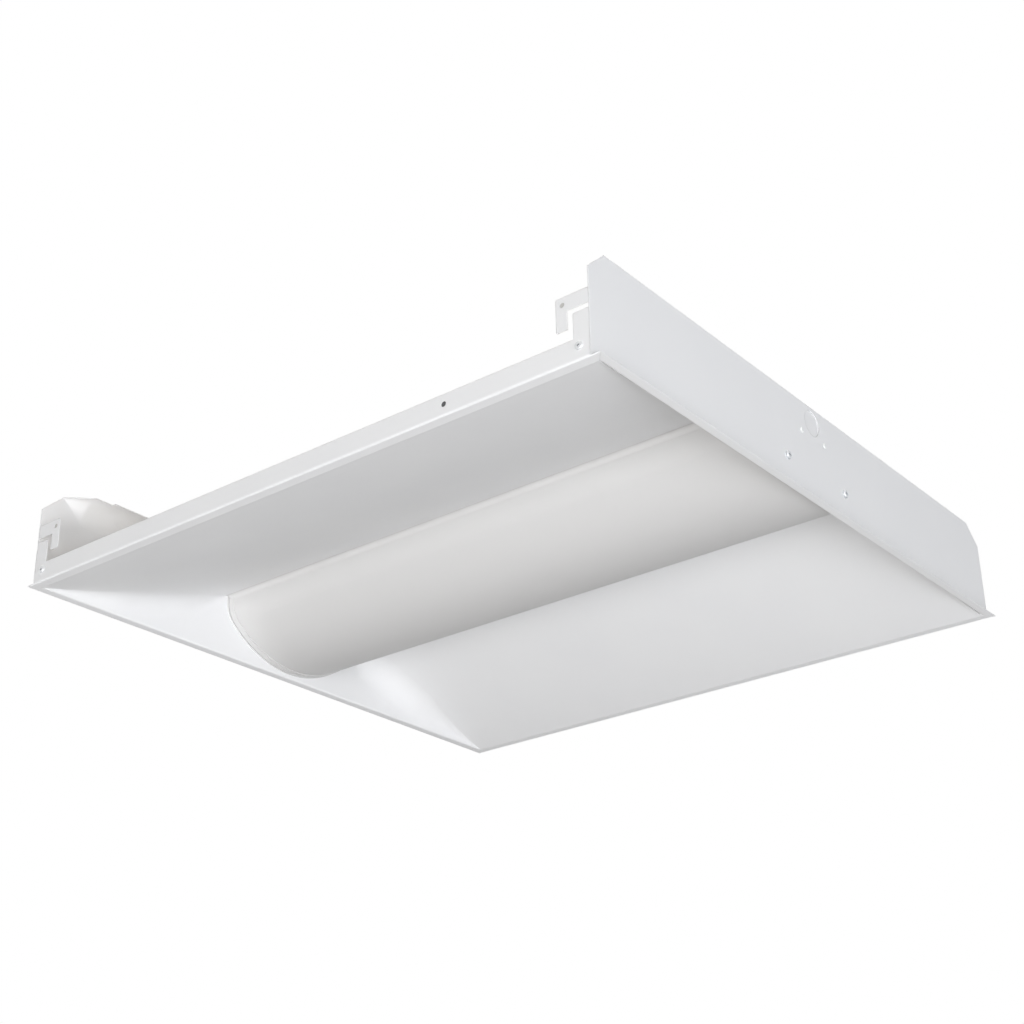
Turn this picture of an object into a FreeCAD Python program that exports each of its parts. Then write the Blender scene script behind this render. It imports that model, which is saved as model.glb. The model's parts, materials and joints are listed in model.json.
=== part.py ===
import FreeCAD, Part
import math
import os

# A recessed 2 ft by 2 ft troffer light that lies in a ceiling grid.
# Frame: millimetres, Z up into the ceiling. The origin is the middle of the opening, in the
# plane of the trim's underside. X runs along the lens, Y across it.

Vec = FreeCAD.Vector

# ---- driving sizes ----

# trim and body sheet
trim_size = 603.2            # over the trim both ways, for a 24 in grid cell
fixture_height = 90.0        # trim underside to the top of the end plates
sheet = 0.8                  # steel of reflectors, end plates and channel
bend_radius = 1.8            # outside radius of the main folds
side_flange = 9.4            # trim under the long sides
end_flange = 7.6             # trim under the ends, outside the end plates
sheet_gap = 0.2              # sheet edge to the sheet it stops against

# side reflectors
side_wall_height = 17.4
hem_height = 4.0             # fold along the top of the side wall
wing_gap_half = 84.0         # centre line to the face of each inner lip
back_height = 29.0           # foot of the inner lip to the top of the end plates
wing_bow = 4.8               # how far the wing bows down from straight
lip_height = 7.0
ear_width = 13.2             # upright at each end of the side wall
ear_height = 38.0

# end plates
corner_run = 20.7            # chamfer of the top corners, across
corner_drop = 19.0           # chamfer of the top corners, down
top_flange = 20.5            # fold along the top, where it is full width
top_flange_step = 3.6        # extra width between the steps
top_flange_step_half = 242.0
top_flange_full_half = 261.0
side_fold = 12.0             # fold behind the ear
side_fold_bottom = 4.0

# T-bar clips
clip_gap_above_ear = 4.0
clip_bar_height = 12.0
clip_reach = 27.6
clip_leg_width = 9.6
clip_leg_height = 27.0       # from the trim plane up to the leg's end
clip_hole_radius = 2.0
clip_play = 0.3
clip_corner = 1.2

# lens and its end caps
lens_half_width = 82.5
lens_depth = 56.1
lens_crown_radius = 110.0
lens_shoulder_radius = 25.0
lens_wall = 1.8
lens_end_play = 2.8          # lens end to the cap's rim
cap_rim_wall = 1.7
cap_rim_stand = 1.3          # rim outside the lens
cap_plug_depth = 6.5
cap_plug_wall = 1.6
cap_clearance = 0.5
cap_boss_radius = 4.5

# LED tray, boards and LEDs
tray_sheet = 0.8
tray_gap = 0.6               # tray edge to lip
tray_edge_height = 5.0
tray_end_gap = 0.3           # to the end cap
lens_to_tray = 0.6
board_end_gap = 15.2         # board end to end plate
board_width = 20.0
board_thickness = 1.6
board_offset = 30.0          # centre line to the middle of each board
led_pitch = 12.5
led_size = 3.0
led_height = 0.7
connector_length = 9.0
connector_width = 6.0
connector_height = 4.0
connector_from_end = 14.0
led_clear_of_end = 28.0

# centre channel and its cover
channel_top_drop = 3.5       # channel top below the top of the end plates
channel_foot_gap = 2.0       # wing's back to the channel's foot
channel_sheet_gap = 0.1
access_end_gap = 33.2         # opening to end plate
access_length = 88.0
access_half_width = 38.0
cover_lap = 6.0
cover_hinge_radius = 1.0
cover_ear_wall = 0.6
cover_hinge_room = 0.8          # hinge ear to the cover's plate
cover_hinge_clearance = 0.05
cover_gap = 0.5
cover_screw_play = 0.5

# driver
driver_length = 270.0
driver_width = 32.0
driver_top_gap = 2.7         # case to the channel's underside
driver_middle = -15.0
driver_wall = 0.8
driver_foot = 16.0
driver_base_sheet = 1.0
driver_board_thickness = 1.6
driver_board_stand = 3.0
driver_side_room = 1.2
block_from_end = 14.0
block_length = 12.0
block_height = 8.0
transformer_length = 30.0
transformer_width = 20.0
transformer_height = 11.5
core_inset = 5.0
core_overhang = 2.0
core_height = 6.0
capacitor_radius = 5.0
capacitor_length = 14.0
capacitor_pitch = 16.0
choke_radius = 6.0
choke_bore = 2.5
choke_height = 9.0
filter_length = 14.0
part_gap = 22.0              # between neighbours on the driver's board

# fasteners
corner_rivet_radius = 3.2
corner_rivet_inset = 9.0     # from the end plate's inner face
corner_rivet_height = 11.0
rivet_head = 1.1
end_screw_offset = 44.6
end_screw_height = 28.0
end_screw_head_radius = 3.6
end_screw_head = 2.2
cap_rivet_offset = 18.0
cap_rivet_drop = 0.1         # below the lens's top edge
cap_rivet_radius = 2.3
cap_rivet_head = 0.9
cap_ear_half_width = 5.0
cap_ear_rise = 4.0
knockout_radius = 11.1       # 7/8 in, for a 1/2 in conduit fitting
knockout_ring_gap = 0.35
screw_radius = 1.7
screw_head_radius = 3.4
screw_head = 2.0
recess_reach = 0.58          # cross recess: arm length, as a share of the head's radius
recess_width = 0.26
recess_depth = 0.6           # as a share of the head's height
hole_play = 0.1

# mounting holes
wall_hole_radius = 2.2
wall_hole_height = 9.4
wall_hole_along = 165.0
wire_hole_radius = 3.2       # hanger wires, in the top flanges
wire_hole_offset = 150.0

# leads
lead_radius = 1.1
channel_screw_end_gap = 53.2
channel_screw_share = 0.375   # of the outer screws' place
grommet_hole_radius = 6.0
grommet_bore_radius = 4.8
grommet_end_gap = 67.2
terminal_radius = 3.6
terminal_sheet = 0.8
terminal_barrel_radius = 1.8
terminal_barrel_length = 7.0
wire_connector_radius = 5.0
wire_connector_length = 20.0
connector_inside = 34.0       # from the access opening's edge
connector_spread = 21.0
spring_width = 14.0
spring_sheet = 0.5
spring_drop = 15.0
spring_gap = 0.4
spring_end_gap = 103.2        # spring's middle to end plate
spring_foot = 9.0
small_rivet_radius = 1.2
small_rivet_head_radius = 2.2
small_rivet_head = 0.7
board_screw_offset = 6.0      # off the LED line, towards the centre line
board_screw_share = 0.675     # of the board's half length

# ---- sizes that follow ----

half_trim = trim_size / 2
wing_rise = fixture_height - back_height
plate_outer = half_trim - end_flange
plate_inner = plate_outer - sheet
wall_inner = half_trim - sheet
wing_outer = half_trim - side_flange
body_end = plate_inner - sheet_gap
clip_bottom = ear_height + clip_gap_above_ear
clip_top = clip_bottom + clip_bar_height
tray_bottom = wing_rise + 1.2
lens_top = tray_bottom - lens_to_tray
lens_bottom = lens_top - lens_depth
tray_top = tray_bottom + tray_sheet
channel_top = fixture_height - channel_top_drop
channel_inner = wing_gap_half + sheet + channel_sheet_gap
board_bottom = tray_bottom - board_thickness
driver_height = channel_top - sheet - driver_top_gap - tray_top - driver_base_sheet
knockout_height = (tray_top + channel_top - sheet) / 2
access_start = plate_inner - access_end_gap - access_length
lens_end = plate_inner - cap_rim_wall - lens_end_play
tray_end = plate_inner - cap_rim_wall - tray_end_gap
cap_rivet_height = lens_top - cap_rivet_drop
spring_along = plate_inner - spring_end_gap
grommet_along = grommet_end_gap - plate_inner
spring_line = lens_half_width - lens_wall - spring_gap


# ---- small helpers ----

def box(x0, x1, y0, y1, z0, z1):
    return Part.makeBox(x1 - x0, y1 - y0, z1 - z0, Vec(x0, y0, z0))


def rod(radius, start, direction, length):
    return Part.makeCylinder(radius, length, Vec(*start), Vec(*direction))


def turned(shape, degrees=180):
    """The shape turned about the vertical axis through the origin."""
    copy = shape.copy()
    copy.rotate(Vec(0, 0, 0), Vec(0, 0, 1), degrees)
    return copy


def mirrored(shape, normal):
    return shape.mirror(Vec(0, 0, 0), Vec(*normal))


def four_ways(shape):
    """The shape and its three mirror images across the two middle planes."""
    pair = [shape, mirrored(shape, (1, 0, 0))]
    return pair + [mirrored(s, (0, 1, 0)) for s in pair]


def section_yz(y, z):
    return Vec(0, y, z)


def section_xz(x, z):
    return Vec(x, 0, z)


def line(a, b):
    return Part.LineSegment(a, b).toShape()


def arc(a, middle, b):
    return Part.Arc(a, middle, b).toShape()


def corner(before, point, after, radius):
    """The two tangent points and the arc that rounds one corner of a path."""
    to_before = (before - point).normalize()
    to_after = (after - point).normalize()
    half = to_before.getAngle(to_after) / 2
    reach = radius / math.tan(half)
    start = point + to_before * reach
    end = point + to_after * reach
    inward = (to_before + to_after).normalize()
    middle = point + inward * (radius / math.sin(half) - radius)
    return start, arc(start, middle, end), end


def rounded_path(points, radii):
    """A wire through the points; radii holds one value for each inner point, 0 for sharp."""
    edges = []
    here = points[0]
    for i in range(1, len(points) - 1):
        radius = radii[i - 1]
        if radius == 0:
            edges.append(line(here, points[i]))
            here = points[i]
            continue
        start, bend, end = corner(points[i - 1], points[i], points[i + 1], radius)
        edges.append(line(here, start))
        edges.append(bend)
        here = end
    edges.append(line(here, points[-1]))
    return Part.Wire(edges)


def sheet_face(wire, thickness):
    """A bent sheet's section: the wire's stretch thickened to the right of its travel."""
    return wire.makeOffset2D(thickness, 2, True, True)


def polygon_solid(points, depth):
    loop = Part.makePolygon([Vec(*p) for p in points] + [Vec(*points[0])])
    return Part.Face(loop).extrude(Vec(*depth))


def fused(shapes):
    whole = shapes[0]
    for shape in shapes[1:]:
        whole = whole.fuse(shape)
    return whole.removeSplitter()


def screw_along(point, direction, length, head_radius=screw_head_radius):
    """A pan head screw with a cross recess: the head stands on point, the shank runs back."""
    up = (0, 0, 1)
    head = rod(head_radius, (0, 0, 0), up, screw_head)
    head = head.makeFillet(screw_head * 0.55, [outer_rim(head, (0, 0, 0), up, screw_head)])
    arm = head_radius * recess_reach
    half = head_radius * recess_width / 2
    floor = screw_head * (1 - recess_depth)
    for x, y in ((arm, half), (half, arm)):
        head = head.cut(box(-x, x, -y, y, floor, screw_head + 1))
    screw = head.fuse(rod(screw_radius, (0, 0, -length), up, length)).removeSplitter()
    screw.Placement = FreeCAD.Placement(Vec(*point), FreeCAD.Rotation(Vec(0, 0, 1), Vec(*direction)))
    return screw


def outer_rim(shape, point, direction, distance):
    """The circular edge that lies at a distance along direction from point."""
    base = Vec(*point)
    axis = Vec(*direction)
    for edge in shape.Edges:
        if edge.isClosed() and abs((edge.CenterOfMass - base).dot(axis) - distance) < 1e-6:
            return edge
    raise ValueError("no rim")


# ---- sheet metal ----

def wing_section():
    """Section of a side reflector, from the top of its wall round to its inner lip."""
    p = section_yz
    foot = wing_gap_half + 2.0
    knee = wing_rise - 1.8
    chord_y = (wing_outer + foot) / 2
    chord_z = knee / 2
    slope = math.atan2(knee, wing_outer - foot)
    middle = p(chord_y - wing_bow * math.sin(slope), chord_z - wing_bow * math.cos(slope))
    start, fold, end = corner(p(half_trim, side_wall_height), p(half_trim, 0), p(wing_outer, 0), bend_radius)
    edges = [line(p(half_trim, side_wall_height), start), fold, line(end, p(wing_outer, 0))]
    edges.append(arc(p(wing_outer, 0), middle, p(foot, knee)))
    edges.append(arc(p(foot, knee), p(wing_gap_half + 0.6, wing_rise - 0.3), p(wing_gap_half, wing_rise + 1.4)))
    edges.append(line(p(wing_gap_half, wing_rise + 1.4), p(wing_gap_half, wing_rise + lip_height)))
    return sheet_face(Part.Wire(edges), sheet)


def trim_mitre(outward):
    """Cuts the trim's end on the line from the inner corner to the outer corner of the trim."""
    far = half_trim + 10
    inner_x = plate_outer - sheet_gap
    near_point = (inner_x, wing_outer - sheet_gap, -1)
    far_point = (far, wing_outer + (far - inner_x) * side_flange / end_flange, -1)
    if outward:
        points = [near_point, far_point, (far, wing_outer - 1, -1), (inner_x, wing_outer - 1, -1)]
    else:
        points = [near_point, far_point, (inner_x, far_point[1], -1)]
    return polygon_solid(points, (0, 0, 4))


def side_reflector():
    """The reflector on the +Y side: wall, trim, wing and lip bent from one sheet."""
    body = wing_section().extrude(Vec(trim_size, 0, 0))
    body.translate(Vec(-half_trim, 0, 0))
    hem_end = plate_inner - side_fold - 2 * sheet_gap
    hem = box(-hem_end, hem_end, wall_inner - sheet, wall_inner, side_wall_height - hem_height, side_wall_height)
    body = body.fuse(hem)
    for sign in (1, -1):
        end = box(body_end, half_trim + 1, 0, half_trim + 1, sheet, fixture_height)
        inside = box(plate_outer - sheet_gap, half_trim + 1, 0, wing_outer - sheet_gap, -1, sheet)
        mitre = trim_mitre(True)
        for tool in (end, inside, mitre):
            body = body.cut(tool if sign == 1 else mirrored(tool, (1, 0, 0)))
    for sign in (1, -1):
        ear = box(body_end - ear_width, body_end, wall_inner, half_trim, side_wall_height - 1, ear_height)
        ear = ear.makeFillet(clip_corner, [e for e in ear.Edges if is_edge_along(e, (0, 1, 0)) and
                                           e.CenterOfMass.z > ear_height - 0.1])
        body = body.fuse(ear if sign == 1 else mirrored(ear, (1, 0, 0)))
    body = body.removeSplitter()
    hole_ends = [(-wall_hole_along, wall_hole_height, wall_hole_radius)]
    rivet_x = plate_inner - corner_rivet_inset
    for x in (rivet_x, -rivet_x):
        hole_ends.append((x, corner_rivet_height, screw_radius + hole_play))
    for x, z, radius in hole_ends:
        body = body.cut(rod(radius, (x, wall_inner - 3, z), (0, 1, 0), 8))
    for x in channel_screw_places():
        body = body.cut(rod(screw_radius + hole_play, (x, wing_gap_half - 2, channel_screw_height()), (0, 1, 0), 5))
    return body


def is_edge_along(edge, direction):
    if len(edge.Vertexes) != 2:
        return False
    run = edge.Vertexes[1].Point - edge.Vertexes[0].Point
    return run.Length > 1e-6 and run.cross(Vec(*direction)).Length < 1e-6 * run.Length


def plate_outline_cut():
    """What lies outside the end plate's outline: the two top corners."""
    start = -half_trim
    outside = half_trim + corner_run
    points = [(start, half_trim - corner_run, fixture_height), (start, outside, fixture_height),
              (start, outside, fixture_height - corner_drop), (start, half_trim, fixture_height - corner_drop)]
    return polygon_solid(points, (2 * trim_size, 0, 0))


def top_flange_cut():
    """Trims the top flange: steps, then the slanted ends."""
    low = -1
    edge_full = plate_inner - top_flange
    edge_step = edge_full - top_flange_step
    edge = half_trim
    start = edge - corner_run
    points = [(edge_step - 5, top_flange_step_half), (edge_full, top_flange_step_half + 1.5),
              (edge_full, top_flange_full_half), (plate_inner - 0.4, start), (plate_inner - 0.4, edge + 5),
              (edge_step - 5, edge + 5)]
    return polygon_solid([(x, y, fixture_height - 6) for x, y in points], (0, 0, 12))


def end_plate():
    """The end plate at +X: plate, trim flange, top flange and the folds behind the ears."""
    p = section_xz
    under_top = fixture_height - sheet
    reach = plate_inner - top_flange - top_flange_step
    points = [p(reach, under_top), p(plate_inner, under_top), p(plate_inner, 0), p(half_trim, 0)]
    wire = rounded_path(points, [bend_radius - sheet, bend_radius])
    face = sheet_face(wire, -sheet)
    if face.BoundBox.ZMax < fixture_height - 0.01:
        face = sheet_face(wire, sheet)
    plate = face.extrude(Vec(0, 2 * half_trim, 0))
    plate.translate(Vec(0, -half_trim, 0))
    cuts = [plate_outline_cut(), top_flange_cut()]
    cuts.append(trim_mitre(False))
    cuts.append(box(0, plate_outer - sheet_gap, wing_outer - sheet_gap, half_trim + 1, -1, sheet + sheet_gap))
    for tool in cuts:
        plate = plate.cut(tool)
        plate = plate.cut(mirrored(tool, (0, 1, 0)))
    fold_outer = wall_inner - sheet_gap / 2
    fold = box(plate_inner - side_fold, plate_inner + sheet / 2, fold_outer - sheet, fold_outer,
               side_fold_bottom, ear_height - 1)
    rivet = rod(screw_radius + hole_play, (plate_inner - corner_rivet_inset, fold_outer - 3, corner_rivet_height),
                (0, 1, 0), 6)
    fold = fold.cut(rivet)
    plate = fused([plate, fold, mirrored(fold, (0, 1, 0))])
    for y in (end_screw_offset, -end_screw_offset):
        plate = plate.cut(rod(screw_radius + hole_play, (plate_inner - 2, y, end_screw_height), (1, 0, 0), 6))
    for y in (cap_rivet_offset, -cap_rivet_offset):
        plate = plate.cut(rod(screw_radius + hole_play, (plate_inner - 2, y, cap_rivet_height), (1, 0, 0), 6))
    plate = plate.cut(rod(knockout_radius, (plate_inner - 2, 0, knockout_height), (1, 0, 0), 6))
    for y in (wire_hole_offset, -wire_hole_offset):
        plate = plate.cut(rod(wire_hole_radius, (plate_inner - top_flange / 2, y, under_top - 2), (0, 0, 1), 6))
    return plate


def knockout_disc():
    """The disc still in its hole at +X, held by two small ties."""
    disc = rod(knockout_radius - knockout_ring_gap, (plate_inner, 0, knockout_height), (1, 0, 0), sheet)
    tie = box(plate_inner, plate_outer, -0.8, 0.8, knockout_height - knockout_radius - 0.01,
              knockout_height + knockout_radius + 0.01)
    hole = rod(knockout_radius, (plate_inner, 0, knockout_height), (1, 0, 0), sheet)
    return fused([disc, tie.common(hole)])


def tbar_clip():
    """The clip at the +X, +Y corner, flat in line with the side wall as shipped."""
    root = plate_inner - clip_play
    tip = plate_inner - clip_reach
    leg_inner = tip + clip_leg_width
    points = [(root, wall_inner, clip_bottom), (root, wall_inner, clip_top), (tip, wall_inner, clip_top),
              (tip, wall_inner, clip_leg_height), (leg_inner, wall_inner, clip_leg_height),
              (leg_inner, wall_inner, clip_bottom)]
    clip = polygon_solid(points, (0, sheet, 0))
    rounded = [e for e in clip.Edges if is_edge_along(e, (0, 1, 0)) and e.CenterOfMass.x < leg_inner - 0.1]
    clip = clip.makeFillet(clip_corner, rounded)
    middle = (tip + leg_inner) / 2 + 0.7
    hole = rod(clip_hole_radius, (middle, wall_inner - 2, clip_bottom + clip_bar_height / 2), (0, 1, 0), 5)
    return clip.cut(hole)


def channel_screw_places():
    outer = plate_inner - channel_screw_end_gap
    inner = outer * channel_screw_share
    return [-outer, -inner, inner, outer]


def channel_screw_height():
    return tray_top + tray_edge_height / 2 + 0.4


def centre_channel():
    """The back of the light: an upturned tray between the end plates, with the access opening."""
    p = section_yz
    foot = wing_rise + sheet + channel_foot_gap
    side = channel_inner
    inside_top = channel_top - sheet
    points = [p(-side, foot), p(-side, inside_top), p(side, inside_top), p(side, foot)]
    wire = rounded_path(points, [bend_radius, bend_radius])
    face = sheet_face(wire, sheet)
    if face.BoundBox.ZMax < channel_top - 0.01:
        face = sheet_face(wire, -sheet)
    channel = face.extrude(Vec(2 * body_end, 0, 0))
    channel.translate(Vec(-body_end, 0, 0))
    opening = box(access_start, access_start + access_length, -access_half_width, access_half_width,
                  channel_top - 3, channel_top + 1)
    opening = opening.makeFillet(3.0, [e for e in opening.Edges if is_edge_along(e, (0, 0, 1))])
    channel = channel.cut(opening)
    for x in channel_screw_places():
        hole = rod(screw_radius + hole_play, (x, -side - 3, channel_screw_height()), (0, 1, 0), 2 * side + 6)
        channel = channel.cut(hole)
    for place, play in ((cover_screw_place(), cover_screw_play), (ground_screw_place(), hole_play)):
        channel = channel.cut(rod(screw_radius + play, (place[0], place[1], channel_top - 3), (0, 0, 1), 6))
    for y in hinge_middles():
        channel = channel.fuse(hinge_ear(hinge_line(), y))
    return channel.removeSplitter()


def hinge_line():
    return access_start - cover_lap - cover_hinge_radius - cover_ear_wall - cover_hinge_room


def hinge_middles():
    return [-25.0, 25.0]


def hinge_height():
    return channel_top + cover_gap + cover_hinge_radius + 0.1


def hinge_ear(x, y):
    """A pair of small ears on the channel that hold the cover's pin."""
    radius = cover_hinge_radius + cover_ear_wall
    parts = []
    for offset in (-6.0, 6.0):
        ear = box(x - radius, x + radius, y + offset - 1, y + offset + 1, channel_top - 0.4, hinge_height())
        knuckle = rod(radius, (x, y + offset - 1, hinge_height()), (0, 1, 0), 2)
        bore = rod(cover_hinge_radius + cover_hinge_clearance, (x, y + offset - 2, hinge_height()), (0, 1, 0), 4)
        parts.append(ear.fuse(knuckle).cut(bore))
    return fused(parts)


def cover_screw_place():
    return access_start + access_length + cover_lap / 2 + 1.2, 0.0


def ground_screw_place():
    return (access_start - 20.0, -60.0)


def access_cover():
    """The wiring cover: a flat plate with two rolled knuckles on one edge."""
    bottom = channel_top + cover_gap
    start = access_start - cover_lap
    end = access_start + access_length + cover_lap + 2.0
    half = access_half_width + cover_lap
    plate = box(start, end, -half, half, bottom, bottom + sheet)
    plate = plate.makeFillet(4.0, [e for e in plate.Edges if is_edge_along(e, (0, 0, 1)) and
                                   e.CenterOfMass.x > start + 1])
    parts = [plate]
    hinge_x = hinge_line()
    for y in hinge_middles():
        parts.append(rod(cover_hinge_radius, (hinge_x, y - 8.0, hinge_height()), (0, 1, 0), 16.0))
        parts.append(box(hinge_x - 0.2, start + 1, y - 4.0, y + 4.0, bottom, bottom + sheet))
        parts.append(box(hinge_x - 0.6, hinge_x + 0.6, y - 4.0, y + 4.0, bottom, hinge_height()))
    cover = fused(parts)
    x, y = cover_screw_place()
    return cover.cut(rod(screw_radius + hole_play, (x, y, bottom - 1), (0, 0, 1), 4))


# ---- lens ----

def lens_wire(stand):
    """The lens outline grown by stand, from one top edge round the crown to the other."""
    p = section_yz
    crown = lens_crown_radius + stand
    shoulder = lens_shoulder_radius + stand
    side = lens_half_width + stand
    crown_z = lens_bottom + lens_crown_radius
    shoulder_y = lens_half_width - lens_shoulder_radius
    drop = math.sqrt((lens_crown_radius - lens_shoulder_radius) ** 2 - shoulder_y ** 2)
    shoulder_z = crown_z - drop
    lean = math.atan2(shoulder_y, drop)
    meet = p(crown * math.sin(lean), crown_z - crown * math.cos(lean))
    half_turn = (lean + math.pi / 2) / 2
    mid = p(shoulder_y + shoulder * math.sin(half_turn), shoulder_z - shoulder * math.cos(half_turn))
    side_foot = p(side, shoulder_z)
    top = p(side, lens_top)

    def flip(v):
        return Vec(v.x, -v.y, v.z)

    return Part.Wire([line(flip(top), flip(side_foot)), arc(flip(side_foot), flip(mid), flip(meet)),
                      arc(flip(meet), p(0, lens_bottom - stand), meet), arc(meet, mid, side_foot),
                      line(side_foot, top)])


def closed_profile(stand):
    """The filled area inside the lens outline grown by stand."""
    wire = lens_wire(stand)
    top = lens_half_width + stand
    lid = line(section_yz(top, lens_top), section_yz(-top, lens_top))
    return Part.Face(Part.Wire(wire.Edges + [lid]))


def trough(outer_stand, inner_stand, x0, x1):
    """An open trough between two grown outlines."""
    outer = closed_profile(outer_stand).extrude(Vec(x1 - x0, 0, 0))
    inner = closed_profile(inner_stand).extrude(Vec(x1 - x0, 0, 0))
    shape = outer.cut(inner)
    shape.translate(Vec(x0, 0, 0))
    return shape


def lens():
    return trough(0, -lens_wall, -lens_end, lens_end)


def lens_end_cap():
    """The cap at +X: a rim that shows outside the lens, a plug inside it and two screw bosses."""
    rim_start = plate_inner - cap_rim_wall
    rim = closed_profile(cap_rim_stand).extrude(Vec(cap_rim_wall, 0, 0))
    rim.translate(Vec(rim_start, 0, 0))
    inner = -lens_wall - cap_clearance
    plug = trough(inner, inner - cap_plug_wall, rim_start - cap_plug_depth, rim_start)
    parts = [rim, plug]
    for y in (end_screw_offset, -end_screw_offset):
        parts.append(rod(cap_boss_radius, (rim_start - cap_plug_depth, y, end_screw_height), (1, 0, 0), cap_plug_depth))
    for y in (cap_rivet_offset, -cap_rivet_offset):
        parts.append(box(rim_start, plate_inner, y - cap_ear_half_width, y + cap_ear_half_width,
                         lens_top - 1, lens_top + cap_ear_rise))
    cap = fused(parts)
    for y in (cap_rivet_offset, -cap_rivet_offset):
        cap = cap.cut(rod(screw_radius + hole_play, (rim_start - 1, y, cap_rivet_height), (1, 0, 0), 4))
    for y in (end_screw_offset, -end_screw_offset):
        cap = cap.cut(rod(screw_radius, (rim_start - cap_plug_depth + 1, y, end_screw_height), (1, 0, 0), 20))
    return cap


def lens_spring():
    """A leaf spring at +Y: foot under the tray, blade down beside the lens wall."""
    p = section_yz
    foot_top = tray_bottom
    points = [p(spring_line - spring_foot, foot_top), p(spring_line - 1.2, foot_top),
              p(spring_line - 1.2, foot_top - 5), p(spring_line, foot_top - spring_drop + 5),
              p(spring_line - 2.2, foot_top - spring_drop)]
    wire = rounded_path(points, [1.0, 0, 0])
    face = sheet_face(wire, spring_sheet)
    spring = face.extrude(Vec(spring_width, 0, 0))
    spring.translate(Vec(spring_along - spring_width / 2, 0, 0))
    x, y = spring_rivet_place()
    return spring.cut(rod(small_rivet_radius + hole_play, (x, y, foot_top - 3), (0, 0, 1), 6))


def spring_rivet_place():
    return spring_along, spring_line - spring_foot + 3.5


def spring_rivet():
    """Holds a spring's foot to the tray: a head below, a set end above."""
    x, y = spring_rivet_place()
    low = tray_bottom - spring_sheet
    head = rod(small_rivet_head_radius, (x, y, low), (0, 0, -1), small_rivet_head)
    shank = rod(small_rivet_radius, (x, y, low), (0, 0, 1), spring_sheet + tray_sheet)
    end = rod(small_rivet_head_radius, (x, y, tray_top), (0, 0, 1), small_rivet_head)
    return fused([head, shank, end])


# ---- LED tray ----

def led_tray():
    p = section_yz
    side = wing_gap_half - tray_gap
    points = [p(-side, tray_top + tray_edge_height), p(-side, tray_bottom), p(side, tray_bottom),
              p(side, tray_top + tray_edge_height)]
    wire = rounded_path(points, [bend_radius, bend_radius])
    face = sheet_face(wire, tray_sheet)
    if face.BoundBox.ZMin < tray_bottom - 0.01:
        face = sheet_face(wire, -tray_sheet)
    tray = face.extrude(Vec(2 * tray_end, 0, 0))
    tray.translate(Vec(-tray_end, 0, 0))
    tray = tray.cut(rod(grommet_hole_radius, (grommet_along, 0, tray_bottom - 2), (0, 0, 1), 6))
    for x in channel_screw_places():
        for y in (side - 2, -side - 2):
            tray = tray.cut(rod(screw_radius + hole_play, (x, y, channel_screw_height()), (0, 1, 0), 5))
    x, y = spring_rivet_place()
    holes = [(x, y), (-x, y), (x, -y), (-x, -y)] + board_screw_places()
    for x, y in holes:
        tray = tray.cut(rod(small_rivet_radius + hole_play, (x, y, tray_bottom - 2), (0, 0, 1), 4))
    return tray


def board_length():
    return 2 * (plate_inner - board_end_gap)


def board_screw_places():
    """Midway between two LEDs, at the board's middle and near both ends."""
    y = board_offset - board_screw_offset
    steps = round(board_screw_share * board_length() / 2 / led_pitch)
    along = (steps + 0.5) * led_pitch
    return [(x, side * y) for side in (1, -1) for x in (-along, led_pitch / 2, along)]


def board_screws():
    """Small screws up through the boards into the tray."""
    parts = []
    for x, y in board_screw_places():
        head = rod(small_rivet_head_radius, (x, y, board_bottom), (0, 0, -1), 1.2)
        shank = rod(small_rivet_radius, (x, y, board_bottom), (0, 0, 1), board_thickness + tray_sheet + 0.8)
        parts.append(fused([head, shank]))
    return Part.makeCompound(parts)


def led_board(y):
    board = box(-board_length() / 2, board_length() / 2, y - board_width / 2, y + board_width / 2,
                board_bottom, tray_bottom)
    board = board.makeFillet(1.0, [e for e in board.Edges if is_edge_along(e, (0, 0, 1))])
    for place in board_screw_places():
        board = board.cut(rod(small_rivet_radius + hole_play, (*place, board_bottom - 1), (0, 0, 1), 4))
    return board


def led_row(y):
    """The LEDs of one board, a group of separate solids."""
    room = board_length() - 2 * led_clear_of_end
    count = int(room / led_pitch) + 1
    first = -(count - 1) * led_pitch / 2
    half = led_size / 2
    leds = []
    for i in range(count):
        x = first + i * led_pitch
        leds.append(box(x - half, x + half, y - half, y + half, board_bottom - led_height, board_bottom))
    return Part.makeCompound(leds)


def connector_x():
    return -board_length() / 2 + connector_from_end


def board_connectors():
    """A push-in connector at the left end of each board, on its inner side."""
    parts = []
    for sign in (1, -1):
        y = sign * board_offset
        body = box(connector_x() - connector_length / 2, connector_x() + connector_length / 2,
                   y - connector_width / 2, y + connector_width / 2, board_bottom - connector_height, board_bottom)
        parts.append(body)
    return Part.makeCompound(parts)


# ---- driver ----

def driver_span():
    return driver_middle - driver_length / 2, driver_middle + driver_length / 2


def driver_base():
    x0, x1 = driver_span()
    half = driver_width / 2
    base = box(x0 - driver_foot, x1 + driver_foot, -half, half, tray_top, tray_top + driver_base_sheet)
    base = base.makeFillet(5.0, [e for e in base.Edges if is_edge_along(e, (0, 0, 1))])
    for x in (x0 - driver_foot / 2, x1 + driver_foot / 2):
        base = base.cut(rod(screw_radius + hole_play, (x, 0, tray_top - 1), (0, 0, 1), 4))
    return base


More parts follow.
